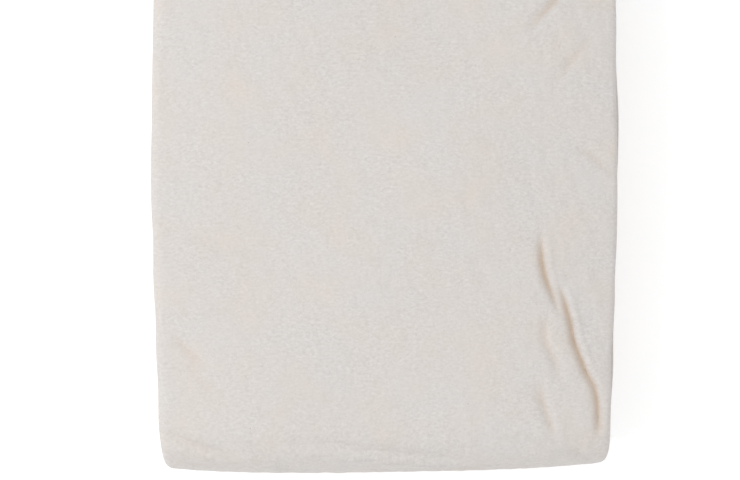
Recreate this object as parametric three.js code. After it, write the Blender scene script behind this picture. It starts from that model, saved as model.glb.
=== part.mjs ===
// A queen-size cotton quilt batt, put up for sale as a flat roll. The batt is one cut of thick
// needle-punched cotton. It is halved three times across its width, which makes a strip eight
// plies thick with its cut edges on one side, and the strip is then wound flat, over and over,
// into a soft rectangular roll of eight lays.
//
// The roll lies on its back, with its face up. Millimetres, +Z up, +Y towards the top of the
// face, and the origin on the surface under the middle of the roll.
import * as THREE from "three";

// The batt as it is cut, 90 in by 108 in, and how it is folded and wound.
const BATT_WIDTH = 2286;
const BATT_LENGTH = 2743;
const PLIES = 8;
const LAYS = 8;
const PLY_PITCH = 1.85;

// The folded strip. LAY_GAP is the slack between one lay and the next.
const STRIP_WIDTH = BATT_WIDTH / PLIES;
const STRIP_PITCH = PLIES * PLY_PITCH;
const LAY_GAP = 0.8;
const HALF_STRIP = (STRIP_PITCH - LAY_GAP) / 2;
const HALF_WIDTH = STRIP_WIDTH / 2;
const ROLL_THICKNESS = LAYS * STRIP_PITCH;

// The turns at the roll's two ends. A turn over one pitch is a half circle, and each further
// pitch adds CORNER_GROWTH of a half pitch to the radius of its two corners. The strip swells
// where it goes round them, most in the outermost turn.
const CORNER_GROWTH = 0.42;
const CORNER_SWELL = 0.2;
// The strip's outer end stops this far inside the roll's end, and its inner end reaches this
// far past the middle of the innermost turn's lay.
const TAIL_SHORT = 30;
const CORE_REACH = 5;

// The lay that is the roll's face, and where the lays and the turns are drawn. The face's rows
// are closest together in its -Y half, by FACE_ROW_SHIFT of its length. The other lays leave out
// a row that is nearer than ROW_CLEAR to one of their ends.
const FACE_LAY = LAYS - 2;
const FACE_STEPS = 30;
const FACE_ROW_SHIFT = 0.12;
const LAY_ROWS = [-150, -132, -100, -50, 0, 50, 100, 132, 150];
const ROW_CLEAR = 6;
const CORNER_STEPS = 3;
const OUTER_CORNER_STEPS = 10;

// The strip's folded side is one nest of eight plies. Its other side, outermost first, is a
// nest of four plies, a fold of two, and the batt's two cut edges. reach is how far each of
// them stands past the strip's nominal side.
const NEST_STEPS = 6;
const CUT_SIDE = [
  { plies: 4, steps: 4, reach: 0.0, round: 1.0 },
  { plies: 2, steps: 2, reach: -1.6, round: 1.0 },
  { plies: 1, steps: 2, reach: 1.0, round: 0.5 },
  { plies: 1, steps: 2, reach: -0.8, round: 0.5 },
];
const NOTCH_DEPTH = 2.4;

// How far each lay stands out past the nominal sides, from the core outwards, and how much
// its edges wander along their length.
const LAY_EDGES = [
  { folded: -2.0, cut: -3.0 },
  { folded: 0.6, cut: -0.4 },
  { folded: -1.5, cut: -2.2 },
  { folded: 1.2, cut: 0.9 },
  { folded: -2.6, cut: -1.0 },
  { folded: -0.4, cut: 1.2 },
  { folded: 0.0, cut: 0.0 },
  { folded: -1.8, cut: -2.4 },
];
const EDGE_WANDER = { reach: 0.9, length: 260, phase: 2.42 };

// The roll's outline: it narrows towards -Y, its ends bulge in the middle, and its face is
// crowned, so it is thinner at the sides and at the ends.
const TAPER = { from: 55, to: -165, share: 0.021 };
const END_BULGE = { reach: 4.5, level: 0.35 };
const END_SKEW = 2.0;
const CROWN = { sides: 0.034, ends: 0.03 };
const FACE_WAVES = [
  { across: 190, along: 260, phase: 0.6, height: 0.8 },
  { across: 120, along: 150, phase: 2.4, height: 0.45 },
];

// The tucks of the face. Each row of a path is a place on the tuck and how deep the face dips
// there. soft and lip are the widths of its slopes on -X and on +X, and rise is the height of
// the slack that stands up beside it on +X. crest is where that slack stands, and how wide it
// is, as shares of the lip.
const TUCKS = [
  {
    soft: 2.6,
    lip: 1.9,
    rise: 0.9,
    path: [
      { y: -84, x: 110.0, depth: 0.0 },
      { y: -76, x: 107.2, depth: 1.8 },
      { y: -69, x: 104.5, depth: 3.4 },
      { y: -59, x: 100.4, depth: 4.4 },
      { y: -50, x: 98.0, depth: 4.4 },
      { y: -39, x: 97.0, depth: 3.0 },
      { y: -29, x: 96.8, depth: 0.0 },
    ],
  },
  {
    soft: 2.6,
    lip: 1.8,
    rise: 1.1,
    path: [
      { y: -158, x: 134.2, depth: 0.0 },
      { y: -150, x: 134.2, depth: 3.4 },
      { y: -134, x: 133.6, depth: 4.2 },
      { y: -123, x: 131.0, depth: 3.8 },
      { y: -118, x: 126.8, depth: 4.0 },
      { y: -110, x: 123.7, depth: 4.6 },
      { y: -96, x: 117.8, depth: 4.8 },
      { y: -87, x: 116.4, depth: 4.6 },
      { y: -77, x: 113.6, depth: 4.4 },
      { y: -68, x: 110.7, depth: 2.8 },
      { y: -60, x: 106.4, depth: 0.0 },
    ],
  },
  {
    soft: 3.6,
    lip: 2.4,
    rise: 0.8,
    path: [
      { y: 90, x: 87.0, depth: 0.0 },
      { y: 99, x: 94.3, depth: 2.2 },
      { y: 111, x: 105.3, depth: 3.2 },
      { y: 126, x: 115.0, depth: 2.4 },
      { y: 143, x: 122.0, depth: 0.0 },
    ],
  },
];
const CREST = { off: 2.1, wide: 1.1 };
// A tuck fades with the depth below the face: at TUCK_FADE, a third of it is left, and it ends
// between these shares of the roll's thickness.
const TUCK_FADE = 5.5;
const TUCK_END = { from: 0.24, to: 0.54 };

// The columns of the face's grid: some at fixed places, and some that follow the tucks.
const PLAIN_COLUMNS = [-122, -86, -46, -6, 36];
const GUIDE = [
  { y: -150, x: 134.2 },
  { y: -134, x: 133.6 },
  { y: -123, x: 131.0 },
  { y: -118, x: 126.8 },
  { y: -110, x: 123.7 },
  { y: -96, x: 117.8 },
  { y: -87, x: 116.4 },
  { y: -77, x: 113.6 },
  { y: -67, x: 103.6 },
  { y: -59, x: 100.4 },
  { y: -50, x: 98.0 },
  { y: -39, x: 97.0 },
  { y: 90, x: 90.0 },
  { y: 99, x: 94.3 },
  { y: 111, x: 105.3 },
  { y: 126, x: 115.0 },
  { y: 143, x: 122.0 },
];
const GUIDE_OFFSETS = [-18, -9, -5, -2.4, 0, 1.5, 3.6];
const BACK_GUIDE = 116;

// The long wrinkles where the outermost turn goes over the -Y end. Each row of a path is an x,
// how far down the corner the wrinkle lies there, as an angle below the face, and its depth.
const WRINKLE_WIDTH = 4;
const WRINKLE_FADE = 5;
const WRINKLES = [
  [
    { x: -142, angle: 12, depth: 0.0 },
    { x: -135, angle: 15, depth: 1.8 },
    { x: -122, angle: 24, depth: 2.2 },
    { x: -110, angle: 32, depth: 2.0 },
    { x: -86, angle: 36, depth: 0.0 },
  ],
  [
    { x: -75, angle: 18, depth: 0.0 },
    { x: -52, angle: 20, depth: 1.8 },
    { x: -22, angle: 25, depth: 2.2 },
    { x: 8, angle: 32, depth: 2.2 },
    { x: 37, angle: 37, depth: 1.8 },
    { x: 58, angle: 40, depth: 0.0 },
  ],
  [
    { x: 92, angle: 20, depth: 0.0 },
    { x: 106, angle: 26, depth: 1.8 },
    { x: 119, angle: 37, depth: 2.2 },
    { x: 128, angle: 50, depth: 1.4 },
    { x: 136, angle: 60, depth: 0.0 },
  ],
];

function smooth(share) {
  const held = THREE.MathUtils.clamp(share, 0, 1);
  return held * held * (3 - 2 * held);
}

// One column of a table, read between its rows. key is the column that runs upwards.
function between(rows, key, at, column) {
  if (at <= rows[0][key]) return rows[0][column];
  const next = rows.findIndex((row) => at <= row[key]);
  if (next < 0) return rows[rows.length - 1][column];
  const [a, b] = [rows[next - 1], rows[next]];
  return THREE.MathUtils.lerp(a[column], b[column], (at - a[key]) / (b[key] - a[key]));
}

// How far one tuck lowers the face at a place.
function tuckAt(tuck, x, y) {
  const depth = between(tuck.path, "y", y, "depth");
  if (depth === 0) return 0;
  const drift = between(tuck.path, "y", y + 1, "x") - between(tuck.path, "y", y - 1, "x");
  const off = (x - between(tuck.path, "y", y, "x")) / Math.hypot(1, drift / 2);
  const valley = Math.exp(-((off / (off < 0 ? tuck.soft : tuck.lip)) ** 2));
  const crest = Math.exp(-(((off / tuck.lip - CREST.off) / CREST.wide) ** 2));
  return depth * valley - (depth / 5) * tuck.rise * crest;
}

// The winding. The lays alternate above and below the core, and level 0 is the lowest.
function levelOf(lay) {
  return LAYS / 2 + (lay % 2 ? -(lay + 1) / 2 : lay / 2);
}

function heightOf(lay) {
  return levelOf(lay) * STRIP_PITCH + HALF_STRIP;
}

// A turn joins a lay to the next one. Even turns are at the -Y end.
function sideOf(turn) {
  return turn % 2 ? 1 : -1;
}

function insetOf(turn) {
  return (Math.floor((LAYS - 2 - turn) / 2) + 0.5) * STRIP_PITCH;
}

function cornerOf(turn) {
  return (STRIP_PITCH / 2) * (1 + CORNER_GROWTH * turn);
}

// The y at which a lay starts and stops lying flat.
function spanOf(lay, halfLength) {
  const flatTo = (turn) => sideOf(turn) * (halfLength - insetOf(turn) - cornerOf(turn));
  const start = lay === 0 ? halfLength - insetOf(0) + CORE_REACH : flatTo(lay - 1);
  const stop = lay === LAYS - 1 ? halfLength - TAIL_SHORT : flatTo(lay);
  return [start, stop];
}

function windingLength(halfLength) {
  let total = 0;
  for (let lay = 0; lay < LAYS; lay++) {
    const [start, stop] = spanOf(lay, halfLength);
    total += sideOf(lay) * (stop - start);
  }
  for (let turn = 0; turn < LAYS - 1; turn++) {
    total += (turn + 1) * STRIP_PITCH + (Math.PI - 2) * cornerOf(turn);
  }
  return total;
}

// Half the roll's length. A millimetre more of it adds two to each lay.
const HALF_LENGTH = (BATT_LENGTH - windingLength(0)) / (2 * LAYS);

// Where a lay is drawn. The face has its own rows, and more of them where most of the tucks are.
function rowsOf(lay) {
  const [start, stop] = spanOf(lay, HALF_LENGTH);
  if (lay === FACE_LAY) {
    const shares = Array.from({ length: FACE_STEPS + 1 }, (_, i) => i / FACE_STEPS);
    const shifted = shares.map((share) => share + FACE_ROW_SHIFT * Math.sin(Math.PI * share));
    return shifted.map((share) => start + (stop - start) * share);
  }
  const [low, high] = [Math.min(start, stop), Math.max(start, stop)];
  const inner = LAY_ROWS.filter((y) => y > low + ROW_CLEAR && y < high - ROW_CLEAR);
  return sideOf(lay) > 0 ? [start, ...inner, stop] : [start, ...inner.reverse(), stop];
}

// The winding as a row of stations. Each is a place on the strip's middle, the direction that
// is outwards there, the lay or the turn it is in, how far it has turned, and its swelling.
function windingStations() {
  const stations = [];
  for (let lay = 0; lay < LAYS; lay++) {
    const up = levelOf(lay) >= LAYS / 2 ? 1 : -1;
    for (const y of rowsOf(lay)) {
      stations.push({ y, z: heightOf(lay), outY: 0, outZ: up, lay, turned: 0, swell: 1 });
    }
    if (lay < LAYS - 1) stations.push(...turnStations(lay, up));
  }
  return stations;
}

function turnStations(turn, up) {
  const radius = cornerOf(turn);
  const side = sideOf(turn);
  const cornerY = side * (HALF_LENGTH - insetOf(turn) - radius);
  const middleZ = (heightOf(turn) + heightOf(turn + 1)) / 2;
  const straight = ((turn + 1) * STRIP_PITCH) / 2 - radius;
  const steps = turn === FACE_LAY ? OUTER_CORNER_STEPS : CORNER_STEPS;
  const stations = [];
  for (const half of [1, -1]) {
    for (let i = 0; i <= steps; i++) {
      const angle = (Math.PI / 2) * (half === 1 ? i / steps : 1 + i / steps);
      const [outY, outZ] = [side * Math.sin(angle), up * Math.cos(angle)];
      const y = cornerY + radius * outY;
      const z = middleZ + up * half * straight + radius * outZ;
      const swell = 1 + (CORNER_SWELL * turn * Math.sin(2 * angle) ** 2) / (LAYS - 2);
      const lay = turn + angle / Math.PI;
      stations.push({ y, z, outY, outZ, lay, turned: angle, swell });
    }
  }
  const unwanted = straight < 1 ? [0, steps, stations.length - 1] : [0, stations.length - 1];
  return stations.filter((_, i) => !unwanted.includes(i));
}

// How far the strip stands past its nominal side at a station.
function edgeOf(station, side) {
  const lay = Math.floor(station.lay);
  const next = Math.min(LAYS - 1, lay + 1);
  const share = smooth(station.lay - lay);
  const edge = THREE.MathUtils.lerp(LAY_EDGES[lay][side], LAY_EDGES[next][side], share);
  const phase = EDGE_WANDER.phase * station.lay;
  return edge + EDGE_WANDER.reach * Math.sin((2 * Math.PI * station.y) / EDGE_WANDER.length + phase);
}

// The x of the line that the grid's columns follow.
function guideAt(station) {
  if (station.lay < FACE_LAY) return between(GUIDE, "y", HALF_LENGTH, "x");
  if (station.lay === FACE_LAY) return between(GUIDE, "y", station.y, "x");
  return THREE.MathUtils.lerp(GUIDE[0].x, BACK_GUIDE, smooth(station.lay - FACE_LAY));
}

// The outline of the strip's side that is not folded, from its outward face to its inward one.
function cutSide(right) {
  const outline = [];
  let top = HALF_STRIP;
  for (const [row, edge] of CUT_SIDE.entries()) {
    const radius = (edge.plies / PLIES) * HALF_STRIP;
    const nose = radius * edge.round;
    const middle = right + edge.reach - nose;
    for (let i = row === 0 ? 0 : 1; i <= edge.steps; i++) {
      const angle = Math.PI / 2 - (Math.PI * i) / edge.steps;
      outline.push([middle + nose * Math.cos(angle), top - radius + radius * Math.sin(angle)]);
    }
    top -= 2 * radius;
    if (row === CUT_SIDE.length - 1) break;
    const inner = Math.min(middle, right + CUT_SIDE[row + 1].reach);
    outline[outline.length - 1] = [inner - NOTCH_DEPTH * (edge.plies / PLIES + 0.2), top];
  }
  return outline;
}

// The strip's section at a station, as points of x and t, where t is the height above the
// strip's middle on its outward side.
function sectionAt(station) {
  const left = -HALF_WIDTH - edgeOf(station, "folded");
  const right = HALF_WIDTH + edgeOf(station, "cut");
  const guide = guideAt(station);
  const shoulder = left + HALF_STRIP;
  const columns = [shoulder, ...PLAIN_COLUMNS, ...GUIDE_OFFSETS.map((offset) => guide + offset)];
  const outward = columns.map((x) => [x, HALF_STRIP]);
  const inward = [...columns].reverse().map((x) => [x, -HALF_STRIP]);
  const nest = [];
  for (let i = 1; i < NEST_STEPS; i++) {
    const angle = (Math.PI * i) / NEST_STEPS;
    nest.push([shoulder - HALF_STRIP * Math.sin(angle), -HALF_STRIP * Math.cos(angle)]);
  }
  return [...outward, ...cutSide(right), ...inward, ...nest];
}

// How far the wrinkles of the outermost turn push a place on it in.
function wrinkleAt(station, x, t) {
  if (station.lay <= FACE_LAY || station.lay >= LAYS - 1 || station.turned > Math.PI / 2) return 0;
  const outer = cornerOf(FACE_LAY) + HALF_STRIP;
  let total = 0;
  for (const path of WRINKLES) {
    const line = THREE.MathUtils.degToRad(between(path, "x", x, "angle"));
    const off = ((station.turned - line) * outer) / WRINKLE_WIDTH;
    total += between(path, "x", x, "depth") * Math.exp(-off * off);
  }
  return total * Math.exp(-(HALF_STRIP - t) / WRINKLE_FADE);
}

// The uneven form of the whole roll, which moves all its lays together.
function settle(x, y, z) {
  const across = Math.min(1, Math.abs(x) / HALF_WIDTH);
  const endwise = Math.min(1, Math.abs(y) / HALF_LENGTH);
  const below = ROLL_THICKNESS - z;
  const belowShare = below / ROLL_THICKNESS;
  let lift = 1 - CROWN.sides * across ** 4 - CROWN.ends * endwise ** 5;
  for (const wave of FACE_WAVES) {
    const wide = Math.sin((2 * Math.PI * x) / wave.across + wave.phase);
    const long = Math.cos((2 * Math.PI * y) / wave.along + wave.phase);
    lift += (wave.height / ROLL_THICKNESS) * wide * long;
  }
  let dips = 0;
  for (const tuck of TUCKS) dips += tuckAt(tuck, x, y);
  dips *= smooth((TUCK_END.to - belowShare) / (TUCK_END.to - TUCK_END.from));
  dips *= Math.exp(-below / TUCK_FADE);

  const skew = END_SKEW * (x / HALF_WIDTH);
  const bulge = END_BULGE.reach * (across ** 3 - END_BULGE.level) * Math.sign(y) - skew;
  const narrowed = 1 - TAPER.share * smooth((TAPER.from - y) / (TAPER.from - TAPER.to));
  return [x * narrowed, y - bulge * endwise ** 6, z * lift - dips];
}

function endCap(section) {
  const outline = section.map(([x, t]) => new THREE.Vector2(x, t));
  return THREE.ShapeUtils.triangulateShape(outline, []);
}

function battingRoll() {
  const stations = windingStations();
  const sections = stations.map(sectionAt);
  const count = sections[0].length;
  const positions = [];
  for (const [i, station] of stations.entries()) {
    for (const [x, t] of sections[i]) {
      const out = station.swell * t - wrinkleAt(station, x, t);
      positions.push(...settle(x, station.y + station.outY * out, station.z + station.outZ * out));
    }
  }
  const faces = [];
  for (let i = 0; i + 1 < stations.length; i++) {
    for (let j = 0; j < count; j++) {
      const [a, b] = [i * count + j, i * count + ((j + 1) % count)];
      faces.push(a, b + count, b, a, a + count, b + count);
    }
  }
  const last = (stations.length - 1) * count;
  for (const [a, b, c] of endCap(sections[0])) faces.push(a, c, b);
  for (const [a, b, c] of endCap(sections[stations.length - 1])) faces.push(last + a, last + b, last + c);

  const geometry = new THREE.BufferGeometry();
  geometry.setAttribute("position", new THREE.Float32BufferAttribute(positions, 3));
  geometry.setIndex(faces);
  geometry.computeBoundingBox();
  const middle = geometry.boundingBox.getCenter(new THREE.Vector3());
  geometry.translate(-middle.x, -middle.y, 0);
  geometry.computeVertexNormals();
  const cotton = new THREE.MeshStandardMaterial({ color: 0xdbd5cc, roughness: 0.96, metalness: 0 });
  const mesh = new THREE.Mesh(geometry, cotton);
  mesh.name = "batting_roll";
  return mesh;
}

const roll = new THREE.Group();
roll.add(battingRoll());
export default roll;
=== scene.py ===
import math

import bpy
import numpy as np
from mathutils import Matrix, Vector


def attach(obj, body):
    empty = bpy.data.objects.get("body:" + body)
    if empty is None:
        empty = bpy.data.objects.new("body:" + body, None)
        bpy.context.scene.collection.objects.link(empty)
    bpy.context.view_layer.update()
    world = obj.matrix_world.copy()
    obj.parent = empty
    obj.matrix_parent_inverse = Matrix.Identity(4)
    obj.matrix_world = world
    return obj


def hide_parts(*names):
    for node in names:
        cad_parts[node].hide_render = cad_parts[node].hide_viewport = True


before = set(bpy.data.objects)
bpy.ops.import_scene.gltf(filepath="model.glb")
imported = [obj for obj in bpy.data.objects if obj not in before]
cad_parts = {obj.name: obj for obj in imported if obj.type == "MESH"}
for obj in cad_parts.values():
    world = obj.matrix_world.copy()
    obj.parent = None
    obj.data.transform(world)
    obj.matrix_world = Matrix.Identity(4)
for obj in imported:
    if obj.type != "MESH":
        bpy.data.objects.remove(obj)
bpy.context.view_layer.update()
scene = bpy.context.scene


# Camera, light and floor. The roll lies on its back and is looked at straight down, with the
# top of its face out of the frame. The light is broad and soft, a little stronger on the left
# and with a weak fill on the bottom end, and the surface is a white sheet that is lit until it
# has no tone of its own. Lengths in this section are in metres, and PIXEL is what one pixel
# of the picture covers at the height of the roll's rim.
PIXEL = 0.6216e-3
FRAME_WIDTH = 740 * PIXEL
RIM_HEIGHT = 0.096
CAMERA_X = -0.0092
CAMERA_Y = -0.0350
LENS_MM = 85
SENSOR_MM = 36
FLOOR_GAP = 0.0002


def linear(hex_colour):
    """An sRGB hex colour as linear RGBA."""
    parts = [int(hex_colour[i:i + 2], 16) / 255 for i in (1, 3, 5)]
    return [c / 12.92 if c <= 0.04045 else ((c + 0.055) / 1.055) ** 2.4 for c in parts] + [1.0]


def add(tree, kind, inputs=None, **settings):
    """Adds a node to a tree with its settings, and fills or links its inputs."""
    node = tree.nodes.new(kind)
    for name, value in settings.items():
        setattr(node, name, value)
    for socket, value in (inputs or {}).items():
        if isinstance(value, bpy.types.NodeSocket):
            tree.links.new(value, node.inputs[socket])
        else:
            node.inputs[socket].default_value = value
    return node


def empty_material(name):
    """A material with an empty node tree."""
    material = bpy.data.materials.new(name)
    material.use_nodes = True
    material.node_tree.nodes.clear()
    return material


def soft_light(name, place, aim, size, watts, colour):
    """A rectangular softbox at a place, aimed at a point."""
    data = bpy.data.lights.new(name, "AREA")
    data.shape = "RECTANGLE"
    data.size, data.size_y = size
    data.energy = watts
    data.color = linear(colour)[:3]
    light = bpy.data.objects.new(name, data)
    scene.collection.objects.link(light)
    light.location = place
    direction = Vector(aim) - Vector(place)
    light.rotation_euler = direction.to_track_quat("-Z", "Y").to_euler()


camera_data = bpy.data.cameras.new("camera")
camera_data.lens = LENS_MM
camera_data.sensor_width = SENSOR_MM
camera = bpy.data.objects.new("camera", camera_data)
scene.collection.objects.link(camera)
rise = FRAME_WIDTH * LENS_MM / SENSOR_MM
camera.location = (CAMERA_X, CAMERA_Y, RIM_HEIGHT + rise)
scene.camera = camera

soft_light("left softbox", (-1.1, 0.1, 1.1), (0, 0, 0.05), (1.2, 1.6), 9.1, "#FFFEFD")
soft_light("overhead softbox", (0.2, 0.0, 2.0), (0, 0, 0), (2.2, 2.2), 14.7, "#FDFEFF")
soft_light("front fill", (0.1, -1.6, 0.8), (0, -0.15, 0.05), (1.6, 0.8), 1.5, "#FFFEFD")

world = bpy.data.worlds.new("studio")
world.use_nodes = True
world.node_tree.nodes.clear()
surround = add(world.node_tree, "ShaderNodeBackground", {
    "Color": linear("#FFFFFF"), "Strength": 0.505,
})
add(world.node_tree, "ShaderNodeOutputWorld", {"Surface": surround.outputs[0]})
scene.world = world
scene.view_settings.view_transform = "Standard"

# White paper, matt, with enough glow of its own to burn out as a lit sweep does.
paper = empty_material("matt white paper sweep")
sheet_of_paper = add(paper.node_tree, "ShaderNodeBsdfPrincipled", {
    "Base Color": linear("#F6F6F6"),
    "Roughness": 0.95,
    "Emission Color": linear("#FFFFFF"),
    "Emission Strength": 0.3,
})
add(paper.node_tree, "ShaderNodeOutputMaterial", {"Surface": sheet_of_paper.outputs[0]})
bpy.ops.mesh.primitive_grid_add(
    x_subdivisions=4, y_subdivisions=4, size=6, location=(0, 0, -FLOOR_GAP),
)
floor = bpy.context.object
floor.name = "floor"
floor.data.materials.append(paper)


# The cotton itself: a natural, unbleached web of cotton, carded, cross-lapped and needle-punched
# through a fine scrim. It is matt and soft, a warm off-white that is cloudy where the web is
# thick or thin, with tufts of fibre and rows of small needle dimples. Where it turns in on
# itself, shade is painted into it, darker and warmer.
PLY_LENGTH_MM = 2743
PLY_WIDTH_MM = 2286
TUFT_MM = 1.5
MOTTLE_TUFTS = 4.6
CLOUD_MM = 34
NEEDLE_MM = 3.2
FLECK_MM = 7.5
WARM_PATCH_MM = 30


def needled_cotton():
    """The felted web, patterned in millimetres across and along the batt."""
    material = empty_material("needle-punched natural cotton")
    tree = material.node_tree
    uv = add(tree, "ShaderNodeUVMap", uv_map="UVMap")
    cloth = add(tree, "ShaderNodeMapping", {
        "Vector": uv.outputs["UV"], "Scale": (PLY_WIDTH_MM, PLY_LENGTH_MM, 1),
    })
    # Fibre tufts lie mostly across the batt, as a cross-lapped web's do.
    combed = add(tree, "ShaderNodeMapping", {"Vector": cloth.outputs[0], "Scale": (0.62, 1, 1)})
    tufts = add(tree, "ShaderNodeTexNoise", {
        "Vector": combed.outputs[0], "Scale": 1 / TUFT_MM, "Detail": 5.0, "Roughness": 0.62,
        "Distortion": 0.5,
    })
    clouds = add(tree, "ShaderNodeTexNoise", {
        "Vector": cloth.outputs[0], "Scale": 1 / CLOUD_MM, "Detail": 3.0, "Roughness": 0.5,
    })
    mottle = add(tree, "ShaderNodeTexNoise", {
        "Vector": combed.outputs[0], "Scale": 1 / (MOTTLE_TUFTS * TUFT_MM), "Detail": 3.0,
        "Roughness": 0.55, "Distortion": 0.8,
    })
    needles = add(tree, "ShaderNodeTexVoronoi", {
        "Vector": cloth.outputs[0], "Scale": 1 / NEEDLE_MM, "Randomness": 0.75,
    }, feature="F1")
    specks = add(tree, "ShaderNodeTexVoronoi", {
        "Vector": cloth.outputs[0], "Scale": 1 / FLECK_MM, "Randomness": 1.0,
    }, feature="F1")

    tuft_colour = add(tree, "ShaderNodeValToRGB", {"Fac": tufts.outputs["Fac"]})
    tuft_colour.color_ramp.elements[0].position = 0.30
    tuft_colour.color_ramp.elements[0].color = linear("#CEC9C5")
    tuft_colour.color_ramp.elements[1].position = 0.72
    tuft_colour.color_ramp.elements[1].color = linear("#E3DFDC")
    cloud_share = add(tree, "ShaderNodeMapRange", {
        "Value": clouds.outputs["Fac"], "From Min": 0.35, "From Max": 0.68,
        "To Min": 0.0, "To Max": 0.5,
    })
    clouded = add(tree, "ShaderNodeMix", {
        "Factor": cloud_share.outputs[0], 6: tuft_colour.outputs[0], 7: linear("#D9D5D2"),
    }, data_type="RGBA")
    mottle_share = add(tree, "ShaderNodeMapRange", {
        "Value": mottle.outputs["Fac"], "From Min": 0.52, "From Max": 0.75,
        "To Min": 0.0, "To Max": 0.22,
    })
    mottled = add(tree, "ShaderNodeMix", {
        "Factor": mottle_share.outputs[0], 6: clouded.outputs[2], 7: linear("#CCC5BC"),
    }, data_type="RGBA")
    # Yellower where the bolls were, in broad patches of a few centimetres.
    warmth = add(tree, "ShaderNodeTexNoise", {
        "Vector": cloth.outputs[0], "Scale": 1 / WARM_PATCH_MM, "Detail": 2.0, "Roughness": 0.45,
        "Distortion": 0.3,
    })
    warm_share = add(tree, "ShaderNodeMapRange", {
        "Value": warmth.outputs["Fac"], "From Min": 0.38, "From Max": 0.78,
        "To Min": 0.0, "To Max": 0.4,
    })
    warmed = add(tree, "ShaderNodeMix", {
        "Factor": warm_share.outputs[0], 6: mottled.outputs[2], 7: linear("#E0D3C7"),
    }, data_type="RGBA")
    # Bits of leaf and seed coat, under a millimetre, in about one cell of the web in ten.
    speck_near = add(tree, "ShaderNodeMapRange", {
        "Value": specks.outputs["Distance"], "From Min": 0.02, "From Max": 0.055,
        "To Min": 1.0, "To Max": 0.0,
    })
    chosen = add(tree, "ShaderNodeSeparateColor", {"Color": specks.outputs["Color"]})
    speck_some = add(tree, "ShaderNodeMath", {0: chosen.outputs[0], 1: 0.9}, operation="GREATER_THAN")
    speck_share = add(tree, "ShaderNodeMath", {
        0: speck_near.outputs[0], 1: speck_some.outputs[0],
    }, operation="MULTIPLY")
    speckled = add(tree, "ShaderNodeMix", {
        "Factor": speck_share.outputs[0], 6: warmed.outputs[2], 7: linear("#BBAA94"),
    }, data_type="RGBA")
    # The tuck attribute is 1 at the bottom of a tuck and 0 on the open face. It is painted shade:
    # there the colour goes towards #CCB69F, a darker warm tan that stands for the shade in the tucks
    # and wrinkles and the light warmed by bouncing in them.
    tuck = add(tree, "ShaderNodeAttribute", attribute_name="tuck")
    painted_crease_shade_share = add(tree, "ShaderNodeMath", {0: tuck.outputs["Fac"], 1: 0.9}, operation="MULTIPLY")
    painted_crease_shaded = add(tree, "ShaderNodeMix", {
        "Factor": painted_crease_shade_share.outputs[0], 6: speckled.outputs[2], 7: linear("#CCB69F"),
    }, data_type="RGBA")

    dimples = add(tree, "ShaderNodeMapRange", {
        "Value": needles.outputs["Distance"], "From Min": 0.0, "From Max": 0.42,
        "To Min": 0.0, "To Max": 1.0,
    }, interpolation_type="SMOOTHSTEP")
    dimple_bump = add(tree, "ShaderNodeBump", {
        "Strength": 0.30, "Distance": 0.0004, "Height": dimples.outputs[0],
    })
    tuft_bump = add(tree, "ShaderNodeBump", {
        "Strength": 0.42, "Distance": 0.0006, "Height": tufts.outputs["Fac"],
        "Normal": dimple_bump.outputs[0],
    })
    mottle_bump = add(tree, "ShaderNodeBump", {
        "Strength": 0.30, "Distance": 0.0016, "Height": mottle.outputs["Fac"],
        "Normal": tuft_bump.outputs[0],
    })
    surface = add(tree, "ShaderNodeBsdfPrincipled", {
        "Base Color": painted_crease_shaded.outputs[2],
        "Normal": mottle_bump.outputs[0],
        "Roughness": 0.97,
        "Specular IOR Level": 0.12,
        "Sheen Weight": 0.22,
        "Sheen Roughness": 0.6,
    })
    add(tree, "ShaderNodeOutputMaterial", {"Surface": surface.outputs[0]})
    return material


cotton = needled_cotton()


# The winding. The batt, 90 in by 108 in, is halved three times across its width into a strip
# of eight plies, and the strip is wound flat in eight lays. Lengths are in millimetres here,
# as in the solid, and the same settling gives the roll its uneven form.
PLIES = 8
LAYS = 8
FACE_LAY = 6
STRIP_PITCH = 14.8
HALF_STRIP = 7.0
PLY_PITCH = 2 * HALF_STRIP / PLIES
PLY_THICKNESS = 1.66
CUT_EDGE_DEGREES = 70
HALF_WIDTH = 285.75 / 2
ROLL_THICKNESS = LAYS * STRIP_PITCH
CORNER_GROWTH = 0.42
CORNER_SWELL = 0.2
TAIL_SHORT = 30
CORE_REACH = 5
TAPER_FROM, TAPER_TO, TAPER_SHARE = 55, -165, 0.021
END_BULGE, END_BULGE_LEVEL = 4.5, 0.35
END_SKEW = 2.0
CROWN_SIDES, CROWN_ENDS = 0.034, 0.03
EDGE_WANDER, EDGE_WANDER_LENGTH, EDGE_WANDER_PHASE = 0.9, 260, 2.42
SIDE_FROM, SIDE_OVER = 84, 48
RAGGED, RAGGED_LENGTH, RAGGED_SEED = 0.5, 46, 5
CUT_END, CUT_END_LENGTH, CUT_END_REACH, CUT_END_SEED = 1.3, 330, 30, 6
FEWEST_NOSE_STEPS = 6

# How far each lay stands out past the nominal sides: at its folded side, then its cut side.
LAY_EDGES = np.array([
    [-2.0, -3.0], [0.6, -0.4], [-1.5, -2.2], [1.2, 0.9],
    [-2.6, -1.0], [-0.4, 1.2], [0.0, 0.0], [-1.8, -2.4],
])

# Waves of the face: across, along, phase and height.
FACE_WAVES = [(190, 260, 0.6, 0.8), (120, 150, 2.4, 0.45)]

# Lumps of the web: share of their height, length and seed.
WEB_LUMPS = [(1.0, 15, 3), (0.6, 7, 4)]


def smooth(share):
    """A share held between 0 and 1, with its start and stop eased."""
    held = np.clip(share, 0, 1)
    return held * held * (3 - 2 * held)


def corner_of(turn):
    """The radius, at mid-strip, of the corners of a turn."""
    return STRIP_PITCH / 2 * (1 + CORNER_GROWTH * turn)


def inset_of(turn):
    """How far mid-strip in a turn lies inside the roll's end."""
    return ((LAYS - 2 - turn) // 2 + 0.5) * STRIP_PITCH


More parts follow.
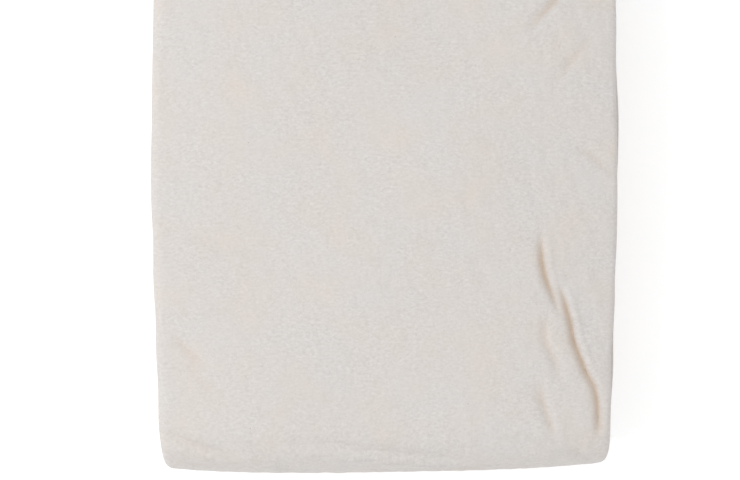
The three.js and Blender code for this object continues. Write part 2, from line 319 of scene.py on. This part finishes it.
def height_of(lay):
    """The height of mid-strip in a lay, for lays that alternate above and below the core."""
    level = LAYS // 2 + (-(lay + 1) // 2 if lay % 2 else lay // 2)
    return level * STRIP_PITCH + HALF_STRIP


def side_of(turn):
    """The end that a turn is at: 1 at +Y and -1 at -Y."""
    return 1 if turn % 2 else -1


def span_of(lay, half_length):
    """The y at which a lay starts and stops lying flat."""
    def flat_to(turn):
        return side_of(turn) * (half_length - inset_of(turn) - corner_of(turn))

    start = half_length - inset_of(0) + CORE_REACH if lay == 0 else flat_to(lay - 1)
    stop = half_length - TAIL_SHORT if lay == LAYS - 1 else flat_to(lay)
    return start, stop


def winding_length(half_length):
    """The length of strip that the whole winding takes up."""
    total = 0
    for lay in range(LAYS):
        start, stop = span_of(lay, half_length)
        total += side_of(lay) * (stop - start)
    for turn in range(LAYS - 1):
        total += (turn + 1) * STRIP_PITCH + (math.pi - 2) * corner_of(turn)
    return total


HALF_LENGTH = (PLY_LENGTH_MM - winding_length(0)) / (2 * LAYS)
STATION = ["y", "z", "out_y", "out_z", "lay", "turned", "swell", "along"]
STATION_CLEAR = 0.2
FACE_AND_TURN = (FACE_LAY, FACE_LAY + 0.5)


def winding(step, corner_steps=5, fine=(), fine_step=None):
    """Stations along the winding, about step apart, and fine_step apart in the lays and turns
    that fine names, as rows of STATION's columns."""
    rows = []
    along = 0.0
    for lay in range(LAYS):
        start, stop = span_of(lay, HALF_LENGTH)
        up = 1 if lay % 2 == 0 else -1
        near = fine_step if lay in fine else step
        count = max(1, math.ceil(abs(stop - start) / near))
        for i in range(count + (lay == LAYS - 1)):
            share = i / count
            rows.append([start + (stop - start) * share, height_of(lay), 0, up, lay, 0, 1,
                         along + abs(stop - start) * share])
        along += abs(stop - start)
        if lay == LAYS - 1:
            break
        near = fine_step if lay + 0.5 in fine else step
        radius = corner_of(lay)
        side = side_of(lay)
        corner_y = side * (HALF_LENGTH - inset_of(lay) - radius)
        middle = (height_of(lay) + height_of(lay + 1)) / 2
        upright = (lay + 1) * STRIP_PITCH / 2 - radius
        for half in (1, -1):
            arc = math.pi / 2 * radius
            count = max(corner_steps, math.ceil(arc / near))
            for i in range(count):
                turned = math.pi / 2 * (i / count + (half < 0))
                out_y, out_z = side * math.sin(turned), up * math.cos(turned)
                swell = 1 + CORNER_SWELL * lay / (LAYS - 2) * math.sin(2 * turned) ** 2
                rows.append([corner_y + radius * out_y,
                             middle + up * half * upright + radius * out_z, out_y, out_z,
                             lay + turned / math.pi, turned, swell, along + arc * i / count])
            along += arc
            if half > 0 and upright > 0:
                count = max(1, math.ceil(2 * upright / near))
                for i in range(count):
                    share = i / count
                    rows.append([corner_y + side * radius, middle + up * upright * (1 - 2 * share),
                                 side, 0, lay + 0.5, math.pi / 2, 1, along + 2 * upright * share])
                along += 2 * upright
    return np.array(rows)


# The eight plies from the inward face to the outward one, as the order in which the batt's
# width runs through them, and the side that each pass ends at: -1 is the folded side.
PASSES = [(0, -1), (7, 1), (4, -1), (3, 1), (2, -1), (5, 1), (6, -1), (1, 1)]
# The reach of the cut side's noses past its nominal side, by the plies that meet there.
CUT_REACH = {(4, 7): 0.0, (5, 6): 0.0, (2, 3): -1.6, (1,): 1.0, (0,): -0.8}


def height_in_strip(ply):
    """A ply's height over mid-strip."""
    return (ply - (PLIES - 1) / 2) * PLY_PITCH


def nose_start(low, high, side):
    """The x at which the plies low and high start to turn into each other. Nested noses start
    together."""
    radius = (high - low) * PLY_PITCH / 2
    if side < 0:
        return -HALF_WIDTH + HALF_STRIP
    outer = 1.5 * PLY_PITCH if (low, high) in [(4, 7), (5, 6)] else radius
    return HALF_WIDTH + CUT_REACH[(low, high)] - outer - PLY_PITCH / 2


def folded_section(columns, nose_steps):
    """The whole width of the batt as one line through its eight plies, as rows of x, height
    in the strip, and the distance across the batt."""
    points = [(HALF_WIDTH + CUT_REACH[(0,)], height_in_strip(0))]
    for i, (ply, side) in enumerate(PASSES):
        ordered = columns if side > 0 else columns[::-1]
        points += [(x, height_in_strip(ply)) for x in ordered]
        if i + 1 == len(PASSES):
            points.append((HALF_WIDTH + CUT_REACH[(1,)], height_in_strip(ply)))
            break
        points += nose(ply, PASSES[i + 1][0], side, nose_steps)
    points = np.array(points)
    across = np.concatenate([[0], np.cumsum(np.hypot(*np.diff(points, axis=0).T))])
    return np.column_stack([points, across * PLY_WIDTH_MM / across[-1]])


def nose(ply, next_ply, side, steps):
    """The half circle where one ply turns into the next."""
    low, high = sorted((ply, next_ply))
    radius = (high - low) * PLY_PITCH / 2
    middle = height_in_strip((low + high) / 2)
    start = nose_start(low, high, side)
    count = max(FEWEST_NOSE_STEPS, round(steps * radius / HALF_STRIP))
    turn = np.linspace(-1, 1, count + 1) * math.pi / 2 * (1 if next_ply > ply else -1)
    return [(start + side * radius * math.cos(a), middle + radius * math.sin(a)) for a in turn]


def line_object(name, points, columns, breaks=()):
    """A chain of edges whose points carry the named columns as attributes."""
    mesh = bpy.data.meshes.new(name)
    edges = [(i, i + 1) for i in range(len(points) - 1) if i + 1 not in breaks]
    mesh.from_pydata([tuple(p) for p in points], edges, [])
    for column, values in columns.items():
        layer = mesh.attributes.new(column, "FLOAT", "POINT")
        layer.data.foreach_set("value", np.asarray(values, dtype=np.float32))
    obj = bpy.data.objects.new(name, mesh)
    scene.collection.objects.link(obj)
    return obj


def sweep_tree():
    """Carries the section of the folded strip along the winding."""
    tree = bpy.data.node_groups.new("wound strip", "GeometryNodeTree")
    tree.is_modifier = True
    sockets = {}
    for name, kind in [("Winding", "Geometry"), ("Section", "Object"), ("Cotton", "Material")]:
        socket = tree.interface.new_socket(name, in_out="INPUT", socket_type="NodeSocket" + kind)
        sockets[name] = socket.identifier
    tree.interface.new_socket("Strip", in_out="OUTPUT", socket_type="NodeSocketGeometry")
    given = add(tree, "NodeGroupInput")
    path = add(tree, "GeometryNodeMeshToCurve", {"Mesh": given.outputs["Winding"]})
    section = add(tree, "GeometryNodeObjectInfo", {"Object": given.outputs["Section"]})
    profile = add(tree, "GeometryNodeMeshToCurve", {"Mesh": section.outputs["Geometry"]})
    swept = add(tree, "GeometryNodeCurveToMesh", {
        "Curve": path.outputs[0], "Profile Curve": profile.outputs[0],
    })
    real = add(tree, "GeometryNodeRealizeInstances", {"Geometry": swept.outputs[0]})
    finished = add(tree, "GeometryNodeSetMaterial", {
        "Geometry": real.outputs[0], "Material": given.outputs["Cotton"],
    })
    add(tree, "NodeGroupOutput", {"Strip": finished.outputs[0]})
    return tree, sockets


def as_plain_mesh(obj, name):
    """The evaluated object as a new plain mesh object; the first one is removed."""
    graph = bpy.context.evaluated_depsgraph_get()
    mesh = bpy.data.meshes.new_from_object(obj.evaluated_get(graph))
    plain = bpy.data.objects.new(name, mesh)
    scene.collection.objects.link(plain)
    bpy.data.objects.remove(obj)
    mesh.name = name
    return plain


def values_of(mesh, name):
    """A named attribute's values, one for each point."""
    values = np.empty(len(mesh.vertices), dtype=np.float32)
    mesh.attributes[name].data.foreach_get("value", values)
    return values.astype(float)


strip_tree, strip_sockets = sweep_tree()


def wound(name, stations, section, breaks=()):
    """The strip's plies along some stations: a mesh, and its points' values by name."""
    section_object = line_object(name + " section", [(x / 1000, t / 1000, 0) for x, t, _ in section], {
        "x": section[:, 0], "t": section[:, 1], "across": section[:, 2],
    }, breaks)
    path = line_object(name, [(0, row[0] / 1000, row[1] / 1000) for row in stations], {
        column: stations[:, i] for i, column in enumerate(STATION)
    })
    sweep = path.modifiers.new("sweep", "NODES")
    sweep.node_group = strip_tree
    sweep[strip_sockets["Section"]] = section_object
    sweep[strip_sockets["Cotton"]] = cotton
    strip = as_plain_mesh(path, name)
    bpy.data.objects.remove(section_object)
    at = {key: values_of(strip.data, key) for key in STATION + ["x", "t", "across"]}
    return strip, at


# Where a crease lies and how deep it is, and the whole roll's uneven form. Each path gives y,
# x and depth. soft and lip are the widths of a crease's slopes on -X and +X, and rise is the
# slack that stands up beside it on +X, CREST_OFF lips away. The first three are in the solid too.
# A crease dies away down through the lays, and ends between the two shares of TUCK_END. Its
# warmer shade is SHADE_SOFT and SHADE_LIP wide, and full where the crease is SHADE_FULL_AT deep.
TUCKS = [
    {"soft": 2.6, "lip": 1.9, "rise": 0.9, "path": [
        (-84, 110.0, 0.0), (-76, 107.2, 1.8), (-69, 104.5, 3.4), (-59, 100.4, 4.4),
        (-50, 98.0, 4.4), (-39, 97.0, 3.0), (-29, 96.8, 0.0),
    ]},
    {"soft": 2.6, "lip": 1.8, "rise": 1.1, "path": [
        (-158, 134.2, 0.0), (-150, 134.2, 3.4), (-134, 133.6, 4.2), (-123, 131.0, 3.8),
        (-118, 126.8, 4.0), (-110, 123.7, 4.6), (-96, 117.8, 4.8), (-87, 116.4, 4.6),
        (-77, 113.6, 4.4), (-68, 110.7, 2.8), (-60, 106.4, 0.0),
    ]},
    {"soft": 3.6, "lip": 2.4, "rise": 0.8, "path": [
        (90, 87.0, 0.0), (99, 94.3, 2.2), (111, 105.3, 3.2), (126, 115.0, 2.4), (143, 122.0, 0.0),
    ]},
    {"soft": 3.8, "lip": 3.2, "rise": 0.3, "path": [
        (-122, 110.0, 0.0), (-114, 108.0, 1.5), (-109, 107.2, 1.7), (-102, 103.1, 1.7),
        (-98, 100.4, 1.8), (-90, 100.0, 1.6), (-80, 99.4, 0.0),
    ]},
    {"soft": 4.0, "lip": 3.0, "rise": 0.35, "path": [
        (-160, 107.4, 0.0), (-148, 104.0, 1.9), (-139, 101.0, 2.2), (-131, 98.4, 1.9),
        (-118, 97.2, 0.0),
    ]},
    {"soft": 3.0, "lip": 4.2, "rise": 0.7, "path": [
        (-118, -108.0, 0.0), (-109, -114.8, 1.3), (-102, -121.5, 1.6), (-95, -128.2, 1.3),
        (-89, -134.0, 0.0),
    ]},
    {"soft": 3.0, "lip": 3.6, "rise": 0.5, "path": [
        (-134, -105.0, 0.0), (-125, -110.0, 0.9), (-114, -118.0, 1.0), (-105, -125.0, 0.0),
    ]},
    {"soft": 3.4, "lip": 3.0, "rise": 0.6, "path": [
        (58, 103.5, 0.0), (64, 107.7, 1.0), (75, 115.6, 1.3), (86, 124.8, 1.0), (94, 131.0, 0.0),
    ]},
    {"soft": 3.0, "lip": 3.0, "rise": 0.6, "path": [
        (2, 143.0, 0.0), (7, 138.8, 1.1), (15, 129.7, 1.3), (22, 120.5, 0.9), (27, 113.0, 0.0),
    ]},
]
CREST_OFF, CREST_WIDE, CREST_SHARE = 2.1, 1.1, 0.2
SHADE_SOFT, SHADE_LIP, SHADE_FULL_AT, SHADE_POWER = 3.5, 1.3, 4.2, 1.5
SHADE_DEEPER = 1.2
TUCK_FADE = 5.5
TUCK_END = (0.24, 0.54)
PRESSED_SPREAD = 2.6

# The wrinkles of the outermost turn, each a width and a path of x, the angle below the face,
# and the depth, which is negative on a ridge. Three of the valleys are in the solid too.
WRINKLES = [
    (2.6, [(-142, 12, 0.0), (-135, 15, 2.5), (-122, 24, 3.0), (-110, 31, 3.0), (-98, 35, 1.5),
           (-86, 36, 0.0)]),
    (2.8, [(-138, 25, 0.0), (-128, 30, -2.4), (-110, 40, -3.2), (-96, 44, -2.2), (-84, 46, 0.0)]),
    (2.4, [(-137, 46, 0.0), (-130, 48, 1.5), (-120, 56, 1.6), (-108, 52, 1.6), (-96, 54, 0.0)]),
    (2.6, [(-98, 30, 0.0), (-88, 38, -2.2), (-78, 46, -2.6), (-66, 57, -2.4), (-54, 66, 0.0)]),
    (2.8, [(-75, 18, 0.0), (-52, 20, 1.2), (-22, 26, 1.7), (8, 34, 1.9), (37, 39, 1.6), (58, 42, 0.0)]),
    (2.8, [(-66, 30, 0.0), (-50, 33, -2.0), (-22, 38, -2.6), (8, 45, -2.8), (37, 51, -2.8),
           (64, 57, -1.8), (80, 58, 0.0)]),
    (2.8, [(58, 18, 0.0), (70, 25, -1.2), (88, 38, -2.4), (100, 37, -2.2), (112, 35, -1.4),
           (120, 36, 0.0)]),
    (2.4, [(104, 28, 0.0), (113, 32, 1.6), (120, 38, 2.2), (128, 50, 1.6), (136, 60, 0.0)]),
    (2.6, [(-40, 60, 0.0), (-10, 64, 1.2), (30, 66, 1.4), (84, 62, 1.6), (110, 58, 0.0)]),
]
WRINKLE_FADE = 5
# Shade painted into the wrinkles' valleys: WRINKLE_SHADE of it, full where one is WRINKLE_FULL_AT deep.
WRINKLE_SHADE, WRINKLE_FULL_AT = 0.06, 2.8
EASE_SHIFTS = (-3, -1.5, 0, 1.5, 3)
WAVE_COUNT, WAVE_LEVEL = 12, 4.2


def eased(path, key, column, at):
    """One column of a path, read between its rows and with its corners rounded."""
    rows = np.array(sorted(path, key=lambda row: row[key]))
    spots = [np.interp(at + shift, rows[:, key], rows[:, column]) for shift in EASE_SHIFTS]
    return np.mean(spots, axis=0)


def tuck_dips(x, y, spread=1.0):
    """How far the tucks lower the face, and the shade painted into them, from 0 to 1."""
    dips = np.zeros_like(x)
    shade = np.zeros_like(x)
    for tuck in TUCKS:
        depth = eased(tuck["path"], 0, 2, y)
        drift = (eased(tuck["path"], 0, 1, y + 1) - eased(tuck["path"], 0, 1, y - 1)) / 2
        off = (x - eased(tuck["path"], 0, 1, y)) / np.hypot(1, drift)
        wide = np.where(off < 0, tuck["soft"], tuck["lip"]) * spread
        crest = np.exp(-((off / tuck["lip"] - CREST_OFF) / CREST_WIDE) ** 2)
        dips += depth * np.exp(-(off / wide) ** 2)
        if spread == 1:
            dips -= CREST_SHARE * depth * tuck["rise"] * crest
        # Painted shade: darkest at the tuck's bottom, and wider on its soft side.
        inside = np.exp(-(off / np.where(off < 0, SHADE_SOFT, SHADE_LIP)) ** 2)
        shade = np.maximum(shade, inside * np.clip(depth / SHADE_FULL_AT, 0, 1) ** SHADE_POWER)
    return dips, shade


def wrinkle_dips(at, x):
    """How far the wrinkles push the outermost turn in, and the shade painted into their valleys."""
    outer = corner_of(FACE_LAY) + HALF_STRIP
    on_turn = (at["lay"] > FACE_LAY) & (at["lay"] < LAYS - 1) & (at["turned"] <= math.pi / 2 + 1e-6)
    total = np.zeros_like(x)
    for width, path in WRINKLES:
        line = np.radians(eased(path, 0, 1, x))
        total += eased(path, 0, 2, x) * np.exp(-((at["turned"] - line) * outer / width) ** 2)
    total = np.where(on_turn, total * np.exp(-(HALF_STRIP - at["t"]) / WRINKLE_FADE), 0)
    return total, WRINKLE_SHADE * np.clip(total / WRINKLE_FULL_AT, 0, 1)


def rolling(u, v, wavelength, seed):
    """A smooth random height between about -1 and 1, over the batt's own two directions."""
    random = np.random.default_rng(seed)
    total = np.zeros_like(u)
    for _ in range(WAVE_COUNT):
        angle = random.uniform(0, math.tau)
        length = wavelength * random.uniform(0.7, 1.5)
        phase = random.uniform(0, math.tau)
        total += np.sin(math.tau * (u * math.cos(angle) + v * math.sin(angle)) / length + phase)
    return total / WAVE_LEVEL


def settled(at, spread=1.0, relief=0.0):
    """The places of a wound mesh's points, in millimetres, and the shade painted into their tucks and
    wrinkles.
    """
    x, t = at["x"].copy(), at["t"]
    lay = np.floor(at["lay"]).astype(int)
    share = smooth(at["lay"] - lay)
    phase = EDGE_WANDER_PHASE * at["lay"]
    wander = EDGE_WANDER * np.sin(math.tau * at["y"] / EDGE_WANDER_LENGTH + phase)
    following = np.minimum(LAYS - 1, lay + 1)
    edge = LAY_EDGES[lay] + (LAY_EDGES[following] - LAY_EDGES[lay]) * share[:, None] + wander[:, None]
    near_side = smooth((np.abs(x) - SIDE_FROM) / SIDE_OVER)
    ragged = RAGGED * rolling(at["along"], 3 * at["t"], RAGGED_LENGTH, RAGGED_SEED) * near_side
    x += np.where(x < 0, -edge[:, 0], edge[:, 1]) * near_side + ragged
    pushed, painted_wrinkle_shade = wrinkle_dips(at, x)
    lumps = sum(part * rolling(at["across"], at["along"], long, seed) for part, long, seed in WEB_LUMPS)
    off_floor = smooth((at["z"] + at["out_z"] * t) / STRIP_PITCH - 0.5)
    out = t * at["swell"] - pushed + relief * lumps * off_floor
    # The batt's two cut ends are not quite straight, so its plies don't end level in the strip.
    from_end = np.minimum(at["along"], PLY_LENGTH_MM - at["along"])
    uneven = CUT_END * rolling(at["across"], 0 * t, CUT_END_LENGTH, CUT_END_SEED)
    y = at["y"] + at["out_y"] * out + uneven * smooth(1 - from_end / CUT_END_REACH)
    z = at["z"] + at["out_z"] * out

    across = np.minimum(1, np.abs(x) / HALF_WIDTH)
    endwise = np.minimum(1, np.abs(y) / HALF_LENGTH)
    lift = 1 - CROWN_SIDES * across ** 4 - CROWN_ENDS * endwise ** 5
    for wide, long, phase, height in FACE_WAVES:
        wave = np.sin(math.tau * x / wide + phase) * np.cos(math.tau * y / long + phase)
        lift += height / ROLL_THICKNESS * wave
    below = ROLL_THICKNESS - z
    left_to_end = (TUCK_END[1] - below / ROLL_THICKNESS) / (TUCK_END[1] - TUCK_END[0])
    fade = np.exp(-below / (TUCK_FADE * spread)) * smooth(left_to_end)
    dips, shade = tuck_dips(x, y, spread)
    bulge = END_BULGE * (across ** 3 - END_BULGE_LEVEL) * np.sign(y) - END_SKEW * x / HALF_WIDTH
    narrowed = 1 - TAPER_SHARE * smooth((TAPER_FROM - y) / (TAPER_FROM - TAPER_TO))
    places = np.column_stack([x * narrowed, y - bulge * endwise ** 6, z * lift - dips * fade])
    return places, np.maximum(shade * np.clip(fade * SHADE_DEEPER, 0, 1), painted_wrinkle_shade)


def place(strip, at, places, shade):
    """Puts a wound mesh's points in place, and gives it its UV map and the shade painted into its
    tucks.
    """
    mesh = strip.data
    mesh.vertices.foreach_set("co", (places / 1000).astype(np.float32).ravel())
    # The tuck attribute is shade painted into the tucks and wrinkles.
    layer = mesh.attributes.new("tuck", "FLOAT", "POINT")
    layer.data.foreach_set("value", shade.astype(np.float32))
    corners = np.empty(len(mesh.loops), dtype=np.int32)
    mesh.loops.foreach_get("vertex_index", corners)
    uv = np.column_stack([at["across"] / PLY_WIDTH_MM, at["along"] / PLY_LENGTH_MM])[corners]
    mesh.uv_layers.new(name="UVMap").data.foreach_set("uv", uv.astype(np.float32).ravel())
    for name in STATION + ["x", "t", "across"]:
        mesh.attributes.remove(mesh.attributes[name])
    mesh.polygons.foreach_set("use_smooth", np.ones(len(mesh.polygons), dtype=bool))
    mesh.update()


def thickened(strip, name):
    """The sheet with its real thickness, centred on the mesh that it was, and square cut edges."""
    wall = strip.modifiers.new("thickness", "SOLIDIFY")
    wall.thickness = PLY_THICKNESS / 1000
    wall.offset = 0
    plain = as_plain_mesh(strip, name)
    plain.data.set_sharp_from_angle(angle=math.radians(CUT_EDGE_DEGREES))
    return plain


def part_of(stations, start, stop):
    """The stations between two distances along the batt, with exact ends and none too near
    them."""
    along = stations[:, STATION.index("along")]
    inner = stations[(along > start + STATION_CLEAR) & (along < stop - STATION_CLEAR)]
    ends = [[np.interp(at, along, column) for column in stations.T] for at in (start, stop)]
    return np.vstack([ends[0], inner, ends[1]])


# Inner plies: all of the batt but the last ply of its outermost lays. It is one cloth, swept
# as a folded section along the winding, given its thickness and pressed under the tucks.
# Where the outer ply begins, on the lay under the roll, is hidden by the batt's tail.
SPLIT_Y = 112
NOSE_STEPS = 9
PLAIN_COLUMNS = [-112, -84, -44, -4, 36, 70, 88, 96, 103, 110, 117, 122, 127, 132, 136]
LEFT_JOIN, RIGHT_JOIN = PLAIN_COLUMNS[0], 117

coarse = winding(step=18, corner_steps=7, fine=FACE_AND_TURN, fine_step=9)
along = coarse[:, STATION.index("along")]
lay_five = coarse[:, STATION.index("lay")] == 5
split = np.interp(SPLIT_Y, coarse[lay_five, 0], along[lay_five])
whole = folded_section(PLAIN_COLUMNS, NOSE_STEPS)

# Behind the outer ply, the section goes without its pass through ply 7.
left_join = np.where(np.isclose(whole[:, 0], LEFT_JOIN))[0][0]
on_ply_four = np.isclose(whole[:, 1], height_in_strip(4))
right_join = np.where(np.isclose(whole[:, 0], RIGHT_JOIN) & on_ply_four)[0][0]
backing = np.vstack([whole[:left_join + 1], whole[right_join:]])

inner_plies = []
for name, stations, section, breaks in [
    ("inner lays", part_of(coarse, 0, split), whole, ()),
    ("plies behind the outer ply", part_of(coarse, split, along[-1]), backing, (left_join + 1,)),
]:
    strip, at = wound(name, stations, section, breaks)
    places, shade = settled(at, spread=PRESSED_SPREAD)
    place(strip, at, places, 0 * shade)
    inner_plies.append(strip)


# Outer ply: the batt's last ply where it is the roll's outside, over the +Y end, the face, the
# -Y end and the back, with the folds at its two sides. It is the same cotton, and is meshed
# finely enough for its tucks, its wrinkles and the lumps of the web.
WEB_LUMPS_MM = 0.16
PLAIN_FROM, CREASED_FROM, CREASED_TO = -133, 88, 137
PLAIN_GAP, CREASED_GAP = 3.1, 1.15
FOLD_STEPS, CUT_SIDE_STEPS = 18, 20

fine = winding(step=7, fine=FACE_AND_TURN, fine_step=2.4)
face_columns = [
    *np.arange(PLAIN_FROM, CREASED_FROM, PLAIN_GAP),
    *np.arange(CREASED_FROM, CREASED_TO, CREASED_GAP),
]
skin = [(LEFT_JOIN, height_in_strip(0)), *nose(0, 7, -1, FOLD_STEPS)]
skin += [(x, height_in_strip(7)) for x in face_columns]
skin += [*nose(7, 4, 1, CUT_SIDE_STEPS), (RIGHT_JOIN, height_in_strip(4))]
skin = np.array(skin)
steps = np.hypot(*np.diff(skin, axis=0).T)
skin = np.column_stack([skin, whole[left_join, 2] + np.concatenate([[0], np.cumsum(steps)])])

outer, outer_at = wound("outer_ply", part_of(fine, split, fine[-1, -1]), skin)
outer_places, outer_shade = settled(outer_at, relief=WEB_LUMPS_MM)
place(outer, outer_at, outer_places, outer_shade)

# The solid is centred on its own width and length, so the cloth is moved as the solid was.
middle = (outer_places.max(axis=0) + outer_places.min(axis=0)) / 2000
for strip in [outer, *inner_plies]:
    strip.data.transform(Matrix.Translation((-middle[0], -middle[1], 0)))
fibre_bed = outer.data.copy()
inner = [thickened(strip, strip.name) for strip in inner_plies]
with bpy.context.temp_override(active_object=inner[0], selected_editable_objects=inner):
    bpy.ops.object.join()
inner = inner[0]
inner.name = "inner_plies"
outer_ply = thickened(outer, "outer_ply")

for piece in (inner, outer_ply):
    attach(piece, "root")
    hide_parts("batting_roll")


# Loose fibres: short ends of cotton that stand out of the needled web all over it, rooted in
# the outer ply. A real one is a fiftieth of a millimetre thick, which is too fine to show, so
# each one here stands for a wisp of them.
FIBRE_MM = 4.2
WISP_MM = 0.13
FIBRE_ROOT_MM = 0.68
FIBRE_RISE_MM = 0.5
FIBRE_LOWEST_MM = 5
FIBRE_HUMP_AT, FIBRE_ASIDE = 0.45, 0.3
FIBRE_SIZES = (0.45, 1.35)
FIBRES_PER_M2 = 34000
FIBRE_SEED = 11


def loose_cotton():
    """Staple cotton, off-white and a little translucent, so it is paler than the web."""
    material = empty_material("loose cotton fibre")
    tree = material.node_tree
    place_on = add(tree, "ShaderNodeTexCoord")
    patches = add(tree, "ShaderNodeTexNoise", {
        "Vector": place_on.outputs["Object"], "Scale": 1000 / FLECK_MM, "Detail": 2.0,
    })
    tint = add(tree, "ShaderNodeMix", {
        "Factor": patches.outputs["Fac"], 6: linear("#D6CFC6"), 7: linear("#E6E2DD"),
    }, data_type="RGBA")
    surface = add(tree, "ShaderNodeBsdfPrincipled", {
        "Base Color": tint.outputs[2],
        "Roughness": 0.9,
        "Specular IOR Level": 0.2,
        "Sheen Weight": 0.3,
        "Sheen Roughness": 0.5,
    })
    add(tree, "ShaderNodeOutputMaterial", {"Surface": surface.outputs[0]})
    return material


def fibre_tree():
    """Scatters bent wisps over a mesh, each turned its own way about the surface's normal."""
    tree = bpy.data.node_groups.new("loose fibres", "GeometryNodeTree")
    tree.is_modifier = True
    sockets = {}
    for name, kind in [
        ("Bed", "Geometry"), ("Length", "Float"), ("Thickness", "Float"), ("Root", "Float"),
        ("Rise", "Float"), ("Lowest", "Float"), ("Density", "Float"), ("Seed", "Int"),
        ("Fibre", "Material"),
    ]:
        socket = tree.interface.new_socket(name, in_out="INPUT", socket_type="NodeSocket" + kind)
        sockets[name] = socket.identifier
    tree.interface.new_socket("Fibres", in_out="OUTPUT", socket_type="NodeSocketGeometry")
    given = add(tree, "NodeGroupInput").outputs
    position = add(tree, "GeometryNodeInputPosition")
    height = add(tree, "ShaderNodeSeparateXYZ", {"Vector": position.outputs[0]})
    clear = add(tree, "FunctionNodeCompare", {
        "A": height.outputs["Z"], "B": given["Lowest"],
    }, data_type="FLOAT", operation="GREATER_THAN")
    scattered = add(tree, "GeometryNodeDistributePointsOnFaces", {
        "Mesh": given["Bed"], "Selection": clear.outputs[0], "Density": given["Density"],
        "Seed": given["Seed"],
    }, distribute_method="RANDOM")
    high = add(tree, "ShaderNodeMath", {
        0: given["Rise"], 1: 2.0, 2: given["Root"],
    }, operation="MULTIPLY_ADD")
    low = add(tree, "ShaderNodeMath", {0: given["Rise"], 1: given["Root"]}, operation="ADD")
    root = add(tree, "ShaderNodeCombineXYZ", {"Z": given["Root"]})
    middle_at = add(tree, "ShaderNodeMath", {
        0: given["Length"], 1: FIBRE_HUMP_AT,
    }, operation="MULTIPLY")
    aside = add(tree, "ShaderNodeMath", {0: given["Length"], 1: FIBRE_ASIDE}, operation="MULTIPLY")
    hump = add(tree, "ShaderNodeCombineXYZ", {"X": middle_at.outputs[0], "Z": high.outputs[0]})
    tip = add(tree, "ShaderNodeCombineXYZ", {
        "X": given["Length"], "Y": aside.outputs[0], "Z": low.outputs[0],
    })
    bend = add(tree, "GeometryNodeCurveQuadraticBezier", {
        "Resolution": 3, "Start": root.outputs[0], "Middle": hump.outputs[0], "End": tip.outputs[0],
    })
    ring = add(tree, "GeometryNodeCurvePrimitiveCircle", {
        "Resolution": 3, "Radius": given["Thickness"],
    })
    wisp = add(tree, "GeometryNodeCurveToMesh", {
        "Curve": bend.outputs[0], "Profile Curve": ring.outputs[0], "Fill Caps": True,
    })
    turn = add(tree, "FunctionNodeRandomValue", {
        2: 0.0, 3: math.tau, "Seed": given["Seed"],
    }, data_type="FLOAT")
    about = add(tree, "FunctionNodeAxisAngleToRotation", {"Axis": (0, 0, 1), "Angle": turn.outputs[1]})
    turned = add(tree, "FunctionNodeRotateRotation", {
        "Rotation": scattered.outputs["Rotation"], "Rotate By": about.outputs[0],
    }, rotation_space="LOCAL")
    size = add(tree, "FunctionNodeRandomValue", {
        2: FIBRE_SIZES[0], 3: FIBRE_SIZES[1], "Seed": given["Seed"],
    }, data_type="FLOAT")
    placed = add(tree, "GeometryNodeInstanceOnPoints", {
        "Points": scattered.outputs["Points"], "Instance": wisp.outputs[0],
        "Rotation": turned.outputs[0], "Scale": size.outputs[1],
    })
    real = add(tree, "GeometryNodeRealizeInstances", {"Geometry": placed.outputs[0]})
    finished = add(tree, "GeometryNodeSetMaterial", {
        "Geometry": real.outputs[0], "Material": given["Fibre"],
    })
    add(tree, "NodeGroupOutput", {"Fibres": finished.outputs[0]})
    return tree, sockets


bed = bpy.data.objects.new("fibre bed", fibre_bed)
scene.collection.objects.link(bed)
scatter = bed.modifiers.new("scatter", "NODES")
scatter.node_group, fibre_sockets = fibre_tree()
for name, value in [
    ("Length", FIBRE_MM / 1000), ("Thickness", WISP_MM / 2000), ("Root", FIBRE_ROOT_MM / 1000),
    ("Rise", FIBRE_RISE_MM / 1000), ("Lowest", FIBRE_LOWEST_MM / 1000), ("Density", FIBRES_PER_M2),
    ("Seed", FIBRE_SEED), ("Fibre", loose_cotton()),
]:
    scatter[fibre_sockets[name]] = value
fibres = as_plain_mesh(bed, "loose_fibres")
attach(fibres, "root")
